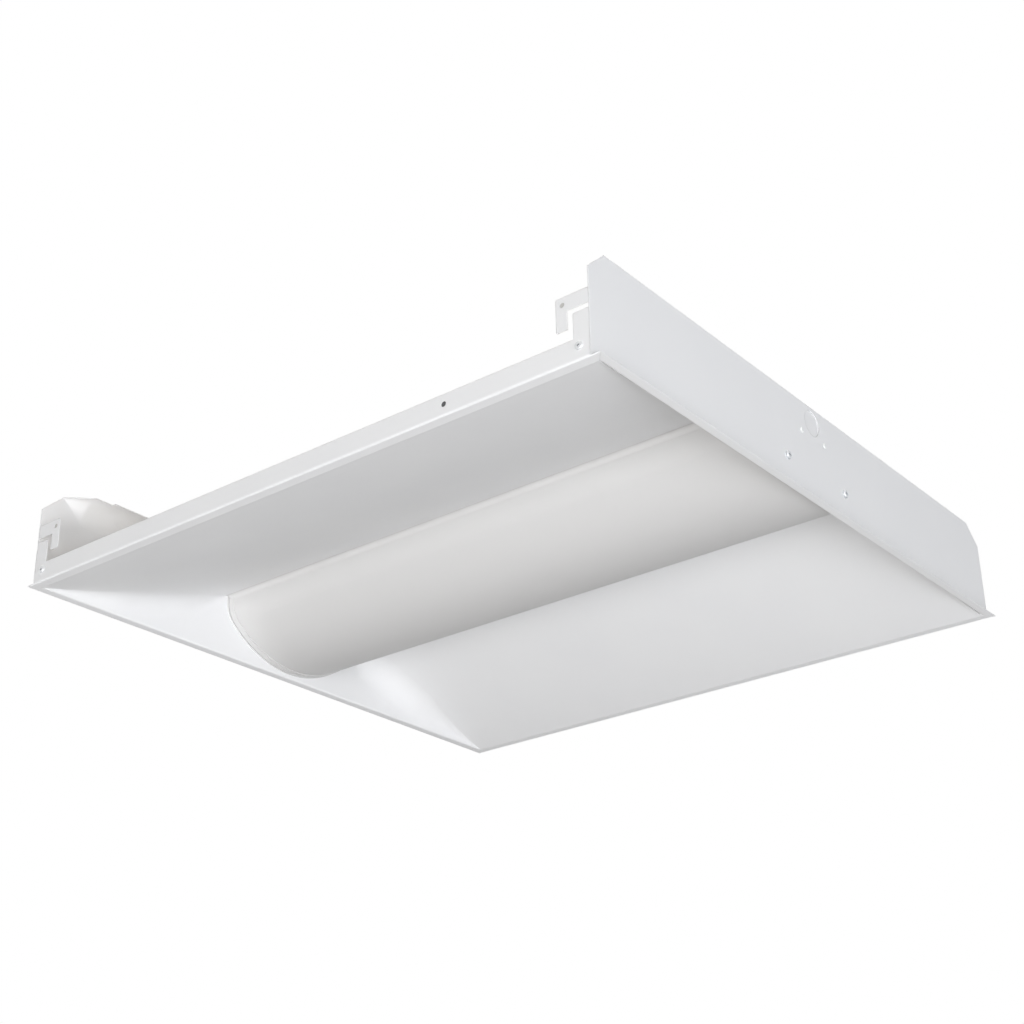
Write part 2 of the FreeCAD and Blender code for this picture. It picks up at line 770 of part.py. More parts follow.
def driver_case():
    """A sheet can over the base, open below, with a bushed hole in each end."""
    x0, x1 = driver_span()
    half = driver_width / 2
    low = tray_top + driver_base_sheet
    outer = box(x0, x1, -half, half, low, low + driver_height)
    outer = outer.makeFillet(1.5, [e for e in outer.Edges if is_edge_along(e, (1, 0, 0)) and
                                   e.CenterOfMass.z > low + 1])
    w = driver_wall
    inner = box(x0 + w, x1 - w, -half + w, half - w, low - 1, low + driver_height - w)
    case = outer.cut(inner)
    for x in (x0 - 1, x1 - w - 1):
        case = case.cut(box(x, x + w + 2, -8.0, 8.0, lead_height() - lead_radius - 0.5,
                            lead_height() + lead_radius + 0.5))
    return case


def lead_height():
    return tray_top + driver_base_sheet + 9.0


def driver_board():
    x0, x1 = driver_span()
    room = driver_wall + driver_side_room
    low = tray_top + driver_base_sheet + driver_board_stand
    return box(x0 + 8, x1 - 8, -driver_width / 2 + room, driver_width / 2 - room, low, low + driver_board_thickness)


def driver_components():
    """Transformer, capacitors, choke and terminal blocks, standing on the driver's board."""
    x0, x1 = driver_span()
    low = tray_top + driver_base_sheet + driver_board_stand + driver_board_thickness
    half = transformer_width / 2
    start = driver_middle + core_inset
    end = start + transformer_length
    transformer = box(start, end, -half, half, low, low + transformer_height)
    core = box(start + core_inset, end - core_inset, -half - core_overhang, half + core_overhang,
               low + core_overhang, low + core_overhang + core_height)
    parts = [transformer.fuse(core).removeSplitter()]
    for x in (end + part_gap, end + part_gap + capacitor_pitch):
        parts.append(rod(capacitor_radius, (x, -capacitor_length / 2, low + capacitor_radius), (0, 1, 0),
                         capacitor_length))
    choke_x = start - part_gap - 2 * choke_radius
    choke = rod(choke_radius, (choke_x, 0, low), (0, 0, 1), choke_height)
    parts.append(choke.cut(rod(choke_bore, (choke_x, 0, low), (0, 0, 1), choke_height)))
    filter_end = choke_x - part_gap
    parts.append(box(filter_end - filter_length, filter_end, -half, half, low, low + block_height))
    for x in (x0 + block_from_end, x1 - block_from_end - block_length):
        parts.append(box(x, x + block_length, -half, half, low, low + block_height))
    return Part.makeCompound(parts)


# ---- fasteners ----

def corner_rivet():
    """A blind rivet at +X, +Y with its hollow middle."""
    x = plate_inner - corner_rivet_inset
    z = corner_rivet_height
    head = rod(corner_rivet_radius, (x, half_trim, z), (0, 1, 0), rivet_head)
    head = head.makeFillet(rivet_head * 0.7, [outer_rim(head, (x, half_trim, z), (0, 1, 0), rivet_head)])
    length = 2 * sheet + sheet_gap / 2 + 1.4
    shank = rod(screw_radius, (x, half_trim - length, z), (0, 1, 0), length)
    rivet = head.fuse(shank)
    rivet = rivet.cut(rod(screw_radius * 0.6, (x, half_trim - 1.6, z), (0, 1, 0), 6))
    return rivet.removeSplitter()


def end_screws():
    parts = []
    for sign in (1, -1):
        for y in (end_screw_offset, -end_screw_offset):
            length = sheet + cap_rim_wall + cap_plug_depth - 1.5
            screw = screw_along((plate_outer, y, end_screw_height), (1, 0, 0), length, end_screw_head_radius)
            parts.append(screw if sign == 1 else mirrored(screw, (1, 0, 0)))
    return Part.makeCompound(parts)


def cap_rivets():
    """Small domed rivets that hold the top of each lens end cap to its end plate."""
    parts = []
    for sign in (1, -1):
        for y in (cap_rivet_offset, -cap_rivet_offset):
            at = (plate_outer, y, cap_rivet_height)
            head = rod(cap_rivet_radius, at, (1, 0, 0), cap_rivet_head)
            head = head.makeFillet(cap_rivet_head * 0.7, [outer_rim(head, at, (1, 0, 0), cap_rivet_head)])
            shank = rod(screw_radius, at, (-1, 0, 0), sheet + cap_rim_wall)
            rivet = head.fuse(shank).removeSplitter()
            parts.append(rivet if sign == 1 else mirrored(rivet, (1, 0, 0)))
    return Part.makeCompound(parts)


def channel_screws():
    parts = []
    outside = channel_inner + sheet
    length = outside - wing_gap_half + tray_gap + tray_sheet + 1.5
    for x in channel_screw_places():
        screw = screw_along((x, outside, channel_screw_height()), (0, 1, 0), length)
        parts += [screw, mirrored(screw, (0, 1, 0))]
    return Part.makeCompound(parts)


def driver_screws():
    x0, x1 = driver_span()
    top = tray_top + driver_base_sheet
    places = (x0 - driver_foot / 2, x1 + driver_foot / 2)
    return Part.makeCompound([screw_along((x, 0, top), (0, 0, 1), driver_base_sheet) for x in places])


def cover_screw():
    x, y = cover_screw_place()
    top = channel_top + cover_gap + sheet
    return screw_along((x, y, top), (0, 0, 1), sheet + cover_gap + sheet + 2.0)


def ground_screw():
    """Hangs from the channel's top, head down inside the wiring space."""
    x, y = ground_screw_place()
    return screw_along((x, y, channel_top - sheet - terminal_sheet), (0, 0, -1), sheet + terminal_sheet)


def terminal_direction():
    """From the ground screw towards the lead that comes to it."""
    return Vec(-3.0, 6.0, 0).normalize()


def terminal_barrel_end():
    x, y = ground_screw_place()
    reach = terminal_radius + terminal_barrel_length
    run = terminal_direction()
    return x + run.x * reach, y + run.y * reach, channel_top - sheet - terminal_barrel_radius


def ground_terminal():
    """A ring under the ground screw's head with a crimped barrel for the green lead."""
    x, y = ground_screw_place()
    run = terminal_direction()
    low = channel_top - sheet - terminal_sheet
    ring = rod(terminal_radius, (x, y, low), (0, 0, 1), terminal_sheet)
    start = (x + run.x * terminal_radius, y + run.y * terminal_radius, terminal_barrel_end()[2])
    barrel = rod(terminal_barrel_radius, start, (run.x, run.y, 0), terminal_barrel_length)
    tongue = box(0, terminal_radius + 1.5, -1.2, 1.2, low, low + terminal_sheet)
    tongue.rotate(Vec(0, 0, 0), Vec(0, 0, 1), math.degrees(math.atan2(run.y, run.x)))
    tongue.translate(Vec(x, y, 0))
    terminal = fused([ring, barrel, tongue])
    terminal = terminal.cut(rod(screw_radius + hole_play, (x, y, low - 1), (0, 0, 1), 4))
    bore_from = (start[0] + run.x * 1.5, start[1] + run.y * 1.5, start[2])
    return terminal.cut(rod(lead_radius + 0.05, bore_from, (run.x, run.y, 0), terminal_barrel_length))


def tray_grommet():
    low = tray_bottom - 1.2
    high = tray_top + 1.2
    at = (grommet_along, 0, low)
    ring = rod(grommet_hole_radius + 1.5, at, (0, 0, 1), high - low)
    groove = rod(grommet_hole_radius + 2, (grommet_along, 0, tray_bottom), (0, 0, 1), tray_sheet)
    core = rod(grommet_hole_radius, (grommet_along, 0, tray_bottom), (0, 0, 1), tray_sheet)
    ring = ring.cut(groove).fuse(core)
    return ring.cut(rod(grommet_bore_radius, at, (0, 0, 1), high - low)).removeSplitter()


# ---- leads ----

def lead(name, points):
    """A round lead along straight runs joined by tangent arcs, each as large as its runs allow."""
    vectors = [Vec(*p) for p in points]
    edges = []
    here = vectors[0]
    radii = []
    for i in range(1, len(vectors) - 1):
        before, point, after = vectors[i - 1:i + 2]
        short = min((before - point).Length, (after - point).Length)
        turn = math.pi - (before - point).getAngle(after - point)
        radius = 0.45 * short / math.tan(turn / 2)
        radii.append(round(radius, 1))
        start, bend, end = corner(before, point, after, radius)
        edges += [line(here, start), bend]
        here = end
    edges.append(line(here, vectors[-1]))
    path = Part.Wire(edges)
    direction = (vectors[1] - vectors[0]).normalize()
    section = Part.Wire(Part.Circle(vectors[0], direction, lead_radius).toShape())
    tube = path.makePipeShell([section], True, False)
    ideal = math.pi * lead_radius ** 2 * path.Length
    print(name, "length", round(path.Length, 1), "radii", radii, "volume ratio", round(tube.Volume / ideal, 4))
    return tube


def wire_connector_places():
    x = access_start + connector_inside
    return {"black": (x, connector_spread), "white": (x, -connector_spread)}


def line_lead(colour, side):
    """From the driver's right end to the twist-on connector of its colour."""
    x, y = wire_connector_places()[colour]
    start_x = driver_span()[1] - block_from_end
    z = lead_height()
    return lead("lead_" + colour, [(start_x, side * 5.0, z), (start_x + 24, side * 5.0, z),
                                   (start_x + 48, side * 5.0 + (y - side * 5.0) * 0.45, z - 2.5),
                                   (start_x + 70, y, z - 3.0), (x + 3.0, y, z - 3.0)])


def ground_lead():
    start_x = driver_span()[1] - block_from_end
    z = lead_height()
    run = terminal_direction()
    x, y, high = terminal_barrel_end()
    inside = 4.0
    approach = 9.0
    return lead("lead_green", [(start_x, 0, z), (start_x + 26, 0, z), (start_x + 36, -12, z + 4.0),
                               (x + run.x * approach, y + run.y * approach, high),
                               (x - run.x * inside, y - run.y * inside, high)])


def led_lead(sign):
    """From the driver's left end, down through the grommet, to one board's connector."""
    start_x = driver_span()[0] + block_from_end
    z = lead_height()
    down = board_bottom - connector_height / 2
    y = sign * 1.6
    end_y = sign * (board_offset - connector_width / 2)
    x = connector_x()
    return lead("lead_" + ("red" if sign > 0 else "blue"),
                [(start_x, y, z), (grommet_along + 24, y, z), (grommet_along + 4, y, z - 2.5),
                 (grommet_along, y, tray_bottom - 1), (grommet_along - 12, sign * 6.0, down - 1.5),
                 (x, sign * 15.0, down), (x, end_y, down)])


def wire_connectors():
    """Two twist-on connectors; each tapers to a round tip and is open at the lead's side."""
    z = lead_height() - 3.0
    parts = []
    for colour in ("black", "white"):
        x, y = wire_connector_places()[colour]
        skirt = Part.makeCone(wire_connector_radius, wire_connector_radius * 0.62, wire_connector_length,
                              Vec(x, y, z), Vec(1, 0, 0))
        skirt = skirt.cut(rod(lead_radius + 0.3, (x, y, z), (1, 0, 0), 6.0))
        parts.append(skirt)
    return Part.makeCompound(parts)


# ---- nodes ----

def save(name, shape):
    shape.exportStep(os.path.join("parts", name + ".step"))
    print(name, len(shape.Solids), "solids", round(shape.Volume / 1000, 2), "cm3", shape.isValid())


def main():
    os.makedirs("parts", exist_ok=True)
    far_side = side_reflector()
    right_plate = end_plate()
    clip = tbar_clip()
    rivet = corner_rivet()
    spring = lens_spring()
    save("side_reflector_far", far_side)
    save("side_reflector_near", turned(far_side))
    save("end_plate_right", right_plate)
    save("end_plate_left", turned(right_plate))
    save("knockout_discs", Part.makeCompound([knockout_disc(), turned(knockout_disc())]))
    clips = four_ways(clip)
    for name, shape in zip(("right_far", "left_far", "right_near", "left_near"), clips):
        save("tbar_clip_" + name, shape)
    save("corner_rivets", Part.makeCompound(four_ways(rivet)))
    save("lens", lens())
    save("lens_end_cap_right", lens_end_cap())
    save("lens_end_cap_left", turned(lens_end_cap()))
    save("lens_springs", Part.makeCompound(four_ways(spring)))
    save("led_tray", led_tray())
    save("spring_rivets", Part.makeCompound(four_ways(spring_rivet())))
    save("board_screws", board_screws())
    save("cap_rivets", cap_rivets())
    save("led_board_far", led_board(board_offset))
    save("led_board_near", led_board(-board_offset))
    save("leds_far", led_row(board_offset))
    save("leds_near", led_row(-board_offset))
    save("board_connectors", board_connectors())
    save("centre_channel", centre_channel())
    save("channel_screws", channel_screws())
    save("access_cover", access_cover())
    save("cover_screw", cover_screw())
    save("driver_base", driver_base())
    save("driver_case", driver_case())
    save("driver_board", driver_board())
    save("driver_components", driver_components())
    save("driver_screws", driver_screws())
    save("end_screws", end_screws())
    save("ground_screw", ground_screw())
    save("ground_terminal", ground_terminal())
    save("tray_grommet", tray_grommet())
    save("wire_connectors", wire_connectors())
    save("lead_black", line_lead("black", 1))
    save("lead_white", line_lead("white", -1))
    save("lead_green", ground_lead())
    save("lead_red", led_lead(1))
    save("lead_blue", led_lead(-1))


main()
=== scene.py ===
import bpy
import json
import math
from mathutils import Matrix, Vector


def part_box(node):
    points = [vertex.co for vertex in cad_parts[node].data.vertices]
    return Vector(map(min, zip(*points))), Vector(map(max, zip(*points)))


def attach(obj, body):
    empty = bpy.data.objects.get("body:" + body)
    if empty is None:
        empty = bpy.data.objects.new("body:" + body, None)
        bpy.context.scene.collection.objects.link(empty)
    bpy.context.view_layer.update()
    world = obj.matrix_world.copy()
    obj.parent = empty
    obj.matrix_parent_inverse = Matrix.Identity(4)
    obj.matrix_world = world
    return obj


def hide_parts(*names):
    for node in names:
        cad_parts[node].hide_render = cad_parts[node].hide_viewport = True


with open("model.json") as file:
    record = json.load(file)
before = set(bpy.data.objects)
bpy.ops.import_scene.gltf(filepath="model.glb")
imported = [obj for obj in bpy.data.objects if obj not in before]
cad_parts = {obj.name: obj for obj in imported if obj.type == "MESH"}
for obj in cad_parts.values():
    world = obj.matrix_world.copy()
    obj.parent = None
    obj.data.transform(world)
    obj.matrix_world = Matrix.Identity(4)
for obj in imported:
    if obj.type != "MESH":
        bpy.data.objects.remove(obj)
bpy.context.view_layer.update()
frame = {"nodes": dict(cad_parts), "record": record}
nodes = frame["nodes"]
print("frame loaded:", len(nodes), "nodes")

mm = 0.001


# ---- colour and node helpers ----

def fromHex(text, alpha=1.0):
    channels = [int(text[i:i + 2], 16) / 255 for i in (1, 3, 5)]
    linear = [c / 12.92 if c <= 0.04045 else ((c + 0.055) / 1.055) ** 2.4 for c in channels]
    return (*linear, alpha)


def addNode(tree, kind, values=None, links=None, **settings):
    node = tree.nodes.new(kind)
    for name, value in settings.items():
        setattr(node, name, value)
    for socket, value in (values or {}).items():
        node.inputs[socket].default_value = value
    for socket, (source, output) in (links or {}).items():
        tree.links.new(source.outputs[output], node.inputs[socket])
    return node


def newMaterial(name):
    material = bpy.data.materials.new(name)
    material.use_nodes = True
    tree = material.node_tree
    tree.nodes.clear()
    return material, tree


def finishMaterial(tree, shader):
    addNode(tree, "ShaderNodeOutputMaterial", links={"Surface": (shader, "BSDF")})


def patternScale(sizeMm):
    return 1 / (sizeMm * mm)  # a noise cell this many millimetres wide, in metre coordinates


# ---- sheet steel and its coat ----

powderCoat = {
    "colour": "#F0F0F0",
    "thinColour": "#ECECED",   # where the spray lies a little thinner
    "roughness": 0.40,
    "roughnessDrift": 0.08,
    "specular": 0.4,
    "peelMm": 3.0,             # real orange peel is about 1 mm and wouldn't show
    "peelHeightMm": 0.005,
    "cloudMm": 70.0,
    "edgeMm": 0.9,             # paint rounds every sheet edge and closes every seam
}


def whitePolyesterPowderCoat():
    # sprayed and baked on steel: an even satin with soft edges and a trace of orange peel
    v = powderCoat
    material, tree = newMaterial("whitePolyesterPowderCoat")
    place = addNode(tree, "ShaderNodeTexCoord")
    cloud = addNode(tree, "ShaderNodeTexNoise", {"Scale": patternScale(v["cloudMm"]), "Detail": 1.0},
                    {"Vector": (place, "Object")})
    tint = addNode(tree, "ShaderNodeMix", {6: fromHex(v["colour"]), 7: fromHex(v["thinColour"])},
                   {"Factor": (cloud, "Fac")}, data_type="RGBA")
    gloss = addNode(tree, "ShaderNodeMapRange",
                    {"To Min": v["roughness"], "To Max": v["roughness"] + v["roughnessDrift"]},
                    {"Value": (cloud, "Fac")})
    peel = addNode(tree, "ShaderNodeTexNoise", {"Scale": patternScale(v["peelMm"]), "Detail": 1.0},
                   {"Vector": (place, "Object")})
    rounded = addNode(tree, "ShaderNodeBevel", {"Radius": v["edgeMm"] * mm}, samples=6)
    bumped = addNode(tree, "ShaderNodeBump", {"Strength": 1.0, "Distance": v["peelHeightMm"] * mm},
                     {"Height": (peel, "Fac"), "Normal": (rounded, "Normal")})
    shader = addNode(tree, "ShaderNodeBsdfPrincipled",
                     {"IOR": 1.5, "Metallic": 0.0, "Specular IOR Level": v["specular"]},
                     {"Base Color": (tint, "Result"), "Roughness": (gloss, "Result"),
                      "Normal": (bumped, "Normal")})
    finishMaterial(tree, shader)
    return material


zincSheet = {
    "colour": "#B9BCBE",
    "darkColour": "#A3A7AA",
    "roughness": 0.38,
    "roughnessDrift": 0.12,
    "spangleMm": 14.0,
}


def hotDippedGalvanizedSheet():
    # zinc crystals give faint patches of lighter and darker grey
    v = zincSheet
    material, tree = newMaterial("hotDippedGalvanizedSheet")
    place = addNode(tree, "ShaderNodeTexCoord")
    crystals = addNode(tree, "ShaderNodeTexVoronoi", {"Scale": patternScale(v["spangleMm"])},
                       {"Vector": (place, "Object")})
    level = addNode(tree, "ShaderNodeSeparateColor", links={"Color": (crystals, "Color")})
    tint = addNode(tree, "ShaderNodeMix", {6: fromHex(v["colour"]), 7: fromHex(v["darkColour"])},
                   {"Factor": (level, "Red")}, data_type="RGBA")
    gloss = addNode(tree, "ShaderNodeMapRange",
                    {"To Min": v["roughness"], "To Max": v["roughness"] + v["roughnessDrift"]},
                    {"Value": (level, "Green")})
    shader = addNode(tree, "ShaderNodeBsdfPrincipled", {"Metallic": 1.0},
                     {"Base Color": (tint, "Result"), "Roughness": (gloss, "Result")})
    finishMaterial(tree, shader)
    return material


# ---- small metal ----

metalGloss = {"smoother": 0.05, "rougher": 0.10}   # how far the marks move the roughness
smallMetals = {
    "brightZincPlate": {"colour": "#E2E4E6", "shade": "#CDD0D3", "roughness": 0.42, "grainMm": 2.0},
    "brightAluminiumRivet": {"colour": "#DDDEDF", "shade": "#CDCFD1", "roughness": 0.46, "grainMm": 1.5},
    "temperedSpringSteel": {"colour": "#B4B6B8", "shade": "#9A9DA0", "roughness": 0.28, "grainMm": 1.2},
    "tinnedCopper": {"colour": "#CFCFC9", "shade": "#BDBDB6", "roughness": 0.33, "grainMm": 1.0},
}


def turnedMetal(name):
    # formed and barrel finished: soft highlights broken by fine handling marks
    v = smallMetals[name]
    material, tree = newMaterial(name)
    place = addNode(tree, "ShaderNodeTexCoord")
    marks = addNode(tree, "ShaderNodeTexNoise", {"Scale": patternScale(v["grainMm"]), "Detail": 3.0},
                    {"Vector": (place, "Object")})
    tint = addNode(tree, "ShaderNodeMix", {6: fromHex(v["colour"]), 7: fromHex(v["shade"])},
                   {"Factor": (marks, "Fac")}, data_type="RGBA")
    gloss = addNode(tree, "ShaderNodeMapRange",
                    {"To Min": v["roughness"] - metalGloss["smoother"],
                     "To Max": v["roughness"] + metalGloss["rougher"]}, {"Value": (marks, "Fac")})
    shader = addNode(tree, "ShaderNodeBsdfPrincipled", {"Metallic": 1.0},
                     {"Base Color": (tint, "Result"), "Roughness": (gloss, "Result")})
    finishMaterial(tree, shader)
    return material


# ---- plastics, rubber and boards ----

diffuser = {
    "colour": "#D4D3D2",
    "roughness": 0.42,
    "smoother": 0.03,
    "rougher": 0.05,
    "dieLineMm": 0.8,          # faint lines along the extrusion, drawn coarse enough to show
    "dieLineStretch": 0.004,   # how much slower the lines change along the lens than across it
    "dieLineHeightMm": 0.002,
    "frostMm": 1.2,
}


def frostedAcrylicExtrusion():
    # milky extruded acrylic with a matt skin: shading stays soft and the lamp boards don't show
    v = diffuser
    material, tree = newMaterial("frostedAcrylicExtrusion")
    place = addNode(tree, "ShaderNodeTexCoord")
    stretch = addNode(tree, "ShaderNodeMapping", {"Scale": (v["dieLineStretch"], 1.0, 1.0)},
                      {"Vector": (place, "Object")})
    lines = addNode(tree, "ShaderNodeTexNoise", {"Scale": patternScale(v["dieLineMm"]), "Detail": 1.0},
                    {"Vector": (stretch, "Vector")})
    frost = addNode(tree, "ShaderNodeTexNoise", {"Scale": patternScale(v["frostMm"]), "Detail": 2.0},
                    {"Vector": (place, "Object")})
    gloss = addNode(tree, "ShaderNodeMapRange",
                    {"To Min": v["roughness"] - v["smoother"], "To Max": v["roughness"] + v["rougher"]},
                    {"Value": (frost, "Fac")})
    bumped = addNode(tree, "ShaderNodeBump", {"Strength": 1.0, "Distance": v["dieLineHeightMm"] * mm},
                     {"Height": (lines, "Fac")})
    shader = addNode(tree, "ShaderNodeBsdfPrincipled",
                     {"Base Color": fromHex(v["colour"]), "IOR": 1.49, "Metallic": 0.0},
                     {"Roughness": (gloss, "Result"), "Normal": (bumped, "Normal")})
    finishMaterial(tree, shader)
    return material


plainGloss = {"smoother": 0.04, "rougher": 0.08}   # how far the mottling moves the roughness
plainFinishes = {
    # name: colour, roughness, IOR, mottling share, mottling width in mm
    "mouldedWhitePolycarbonate": ("#EEEFEE", 0.38, 1.58, 0.03, 5.0),
    "bakedWhiteRivetPaint": ("#EDEEED", 0.30, 1.5, 0.03, 2.0),
    "greenDyedScrewPlate": ("#2F6B43", 0.34, 1.5, 0.10, 1.5),
    "mouldedBlackPhenolic": ("#1B1B1D", 0.46, 1.55, 0.15, 3.0),
    "screenedWhiteSolderMask": ("#F2F2EE", 0.22, 1.5, 0.02, 6.0),
    "screenedGreenSolderMask": ("#1C5B35", 0.24, 1.5, 0.12, 6.0),
    "mouldedSoftRubber": ("#1D1D1E", 0.62, 1.5, 0.20, 2.0),
    "mouldedOrangeNylon": ("#D9641E", 0.36, 1.53, 0.06, 2.5),
    "blackPvcInsulation": ("#1C1C1E", 0.36, 1.53, 0.12, 2.0),
    "whitePvcInsulation": ("#ECECE8", 0.36, 1.53, 0.03, 2.0),
    "greenPvcInsulation": ("#2A7F3F", 0.36, 1.53, 0.08, 2.0),
    "redPvcInsulation": ("#B3231D", 0.36, 1.53, 0.08, 2.0),
    "bluePvcInsulation": ("#24489A", 0.36, 1.53, 0.08, 2.0),
    "castPhosphorSilicone": ("#EBCB5C", 0.30, 1.43, 0.05, 0.6),
    "mouldedLampPackage": ("#EFEDE6", 0.30, 1.55, 0.02, 1.0),
    "mouldedCapGrey": ("#DAD9D8", 0.45, 1.53, 0.02, 5.0),
    "paintedShadeGreyFinish": ("#C3C1BE", 0.45, 1.53, 0.05, 2.0),
    "paintedShadeDarkFinish": ("#505051", 0.50, 1.53, 0.10, 2.0),
}


def plainFinish(name):
    # moulded, dyed or screened in one colour: even, with the slight mottling of the real skin
    colour, roughness, ior, mottling, widthMm = plainFinishes[name]
    material, tree = newMaterial(name)
    place = addNode(tree, "ShaderNodeTexCoord")
    mottle = addNode(tree, "ShaderNodeTexNoise", {"Scale": patternScale(widthMm), "Detail": 2.0},
                     {"Vector": (place, "Object")})
    base = fromHex(colour)
    darker = tuple(c * (1 - mottling) for c in base[:3]) + (1.0,)
    tint = addNode(tree, "ShaderNodeMix", {6: base, 7: darker}, {"Factor": (mottle, "Fac")}, data_type="RGBA")
    gloss = addNode(tree, "ShaderNodeMapRange",
                    {"To Min": roughness - plainGloss["smoother"],
                     "To Max": roughness + plainGloss["rougher"]}, {"Value": (mottle, "Fac")})
    shader = addNode(tree, "ShaderNodeBsdfPrincipled", {"IOR": ior, "Metallic": 0.0},
                     {"Base Color": (tint, "Result"), "Roughness": (gloss, "Result")})
    finishMaterial(tree, shader)
    return material


finishOfSlot = {
    "white_paint": whitePolyesterPowderCoat(),
    "galvanized": hotDippedGalvanizedSheet(),
    "rivet": turnedMetal("brightAluminiumRivet"),
    "white_rivet": plainFinish("bakedWhiteRivetPaint"),
    "zinc_screw": turnedMetal("brightZincPlate"),
    "green_screw": plainFinish("greenDyedScrewPlate"),
    "tinned": turnedMetal("tinnedCopper"),
    "frosted_lens": frostedAcrylicExtrusion(),
    "white_plastic": plainFinish("mouldedWhitePolycarbonate"),
    "spring_steel": turnedMetal("temperedSpringSteel"),
    "white_board": plainFinish("screenedWhiteSolderMask"),
    "led": plainFinish("mouldedLampPackage"),
    "green_board": plainFinish("screenedGreenSolderMask"),
    "black_plastic": plainFinish("mouldedBlackPhenolic"),
    "rubber": plainFinish("mouldedSoftRubber"),
    "orange_plastic": plainFinish("mouldedOrangeNylon"),
    "lead_black": plainFinish("blackPvcInsulation"),
    "lead_white": plainFinish("whitePvcInsulation"),
    "lead_green": plainFinish("greenPvcInsulation"),
    "lead_red": plainFinish("redPvcInsulation"),
    "lead_blue": plainFinish("bluePvcInsulation"),
}
phosphor = plainFinish("castPhosphorSilicone")
print("finishes made:", len(finishOfSlot) + 1)

capGrey = plainFinish("mouldedCapGrey")
for part in frame["record"]["subparts"]:
    node = nodes[part["node"]]
    finish = capGrey if part["node"].startswith("lens_end_cap") else finishOfSlot[part["material_slot"]]
    node.data.materials.clear()
    node.data.materials.append(finish)
print("finishes on the solids")


def addPiece(name, points, faces, material, body, smooth=False):
    mesh = bpy.data.meshes.new(name)
    mesh.from_pydata(points, [], faces)
    mesh.materials.append(material)
    for polygon in mesh.polygons:
        polygon.use_smooth = smooth
    piece = bpy.data.objects.new(name, mesh)
    bpy.context.scene.collection.objects.link(piece)
    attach(piece, body)
    return piece


def loft(points, faces, rings):
    # a closed solid through equal rings of points, with flat ends
    first = len(points)
    count = len(rings[0])
    for ring in rings:
        points += ring
    for start in range(first, first + (len(rings) - 1) * count, count):
        faces += [[start + k, start + (k + 1) % count, start + count + (k + 1) % count, start + count + k]
                  for k in range(count)]
    last = first + (len(rings) - 1) * count
    faces += [[first + k for k in reversed(range(count))], [last + k for k in range(count)]]


def turnedSolid(points, faces, centre, axis, profile, sides=24):
    # a solid of revolution: profile holds (distance along axis, radius) pairs
    axis = Vector(axis).normalized()
    side = axis.orthogonal().normalized()
    other = axis.cross(side)
    turns = [2 * math.pi * k / sides for k in range(sides)]
    spokes = [side * math.cos(turn) + other * math.sin(turn) for turn in turns]
    loft(points, faces, [[tuple(Vector(centre) + axis * along + spoke * radius) for spoke in spokes]
                         for along, radius in profile])


def ribbon(points, faces, rows, turnedOver):
    # an open strip through equal rows of points
    first = len(points)
    count = len(rows[0])
    for row in rows:
        points += row
    for i in range(len(rows) - 1):
        for k in range(count - 1):
            a = first + i * count + k
            face = [a, a + 1, a + 1 + count, a + count]
            faces.append(face[::-1] if turnedOver else face)


# ---- phosphor windows on the lamps ----

phosphorWindow = {"radiusMm": 1.15, "sunkMm": 0.02, "proudMm": 0.05, "rimShare": 0.9, "sides": 20}


def lampCentres(ledNode):
    # the packages are equal boxes: their corners' places give each one's middle
    low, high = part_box(ledNode)
    middleY = (low[1] + high[1]) / 2
    size = high[1] - low[1]
    xs = sorted({round(vertex.co.x, 5) for vertex in nodes[ledNode].data.vertices})
    starts = [x for x in xs if any(abs(x + size - other) < 0.1 * mm for other in xs)]
    return [(x + size / 2, middleY) for x in starts], low[2]


def buildPhosphorWindows(name, ledNode):
    # one shallow round window under each lamp package of a board
    v = phosphorWindow
    centres, under = lampCentres(ledNode)
    points, faces = [], []
    for x, y in centres:
        profile = [(-v["sunkMm"] * mm, v["radiusMm"] * mm),
                   (v["proudMm"] * mm, v["radiusMm"] * v["rimShare"] * mm)]
        turnedSolid(points, faces, (x, y, under), (0, 0, -1), profile, v["sides"])
    addPiece(name, points, faces, phosphor, "fixture")
    return len(centres)


windowCount = buildPhosphorWindows("phosphorWindowsFar", "leds_far")
windowCount += buildPhosphorWindows("phosphorWindowsNear", "leds_near")
print("phosphor windows:", windowCount)


# ---- lens lips ----

lensLip = {
    # a fillet between the lens wall and the reflector's foot, in mm across and up
    "centreMm": (86.95, 53.85),
    "radiusMm": 4.5,
    "fromDegrees": 180.0,
    "toDegrees": 69.4,
    "steps": 12,
    "backMm": ((86.2, 58.85), (84.6, 59.25), (82.3, 59.8), (82.3, 53.85)),
    "endMm": 290.6,
}


def buildLensLips():
    # a small coved lip along each long edge of the lens, which closes the view into the gap beside it
    v = lensLip
    (y0, z0), radius = v["centreMm"], v["radiusMm"]
    section = []
    for k in range(v["steps"] + 1):
        turn = math.radians(v["fromDegrees"] + (v["toDegrees"] - v["fromDegrees"]) * k / v["steps"])
        section.append((y0 + radius * math.cos(turn), z0 + radius * math.sin(turn)))
    section += v["backMm"]
    points, faces = [], []
    for side in (1, -1):
        rings = [[(x * mm, side * y * mm, z * mm) for y, z in section] for x in (-v["endMm"], v["endMm"])]
        loft(points, faces, rings if side < 0 else rings[::-1])
    return addPiece("lensLips", points, faces, finishOfSlot["frosted_lens"], "lens")


buildLensLips()


# ---- sleeves of the lens end caps ----

capSleeve = {
    "halfWidthMm": 82.5,       # the lens section
    "crownRadiusMm": 110.0,
    "shoulderRadiusMm": 25.0,
    "topMm": 61.6,
    "bottomMm": 5.5,
    "standMm": 0.9,            # outside the lens
    "clearMm": 0.02,
    "fromMm": 285.2,
    "toMm": 290.9,             # a narrow groove stays before the cap's rim
    "stepDegrees": 3.0,
}


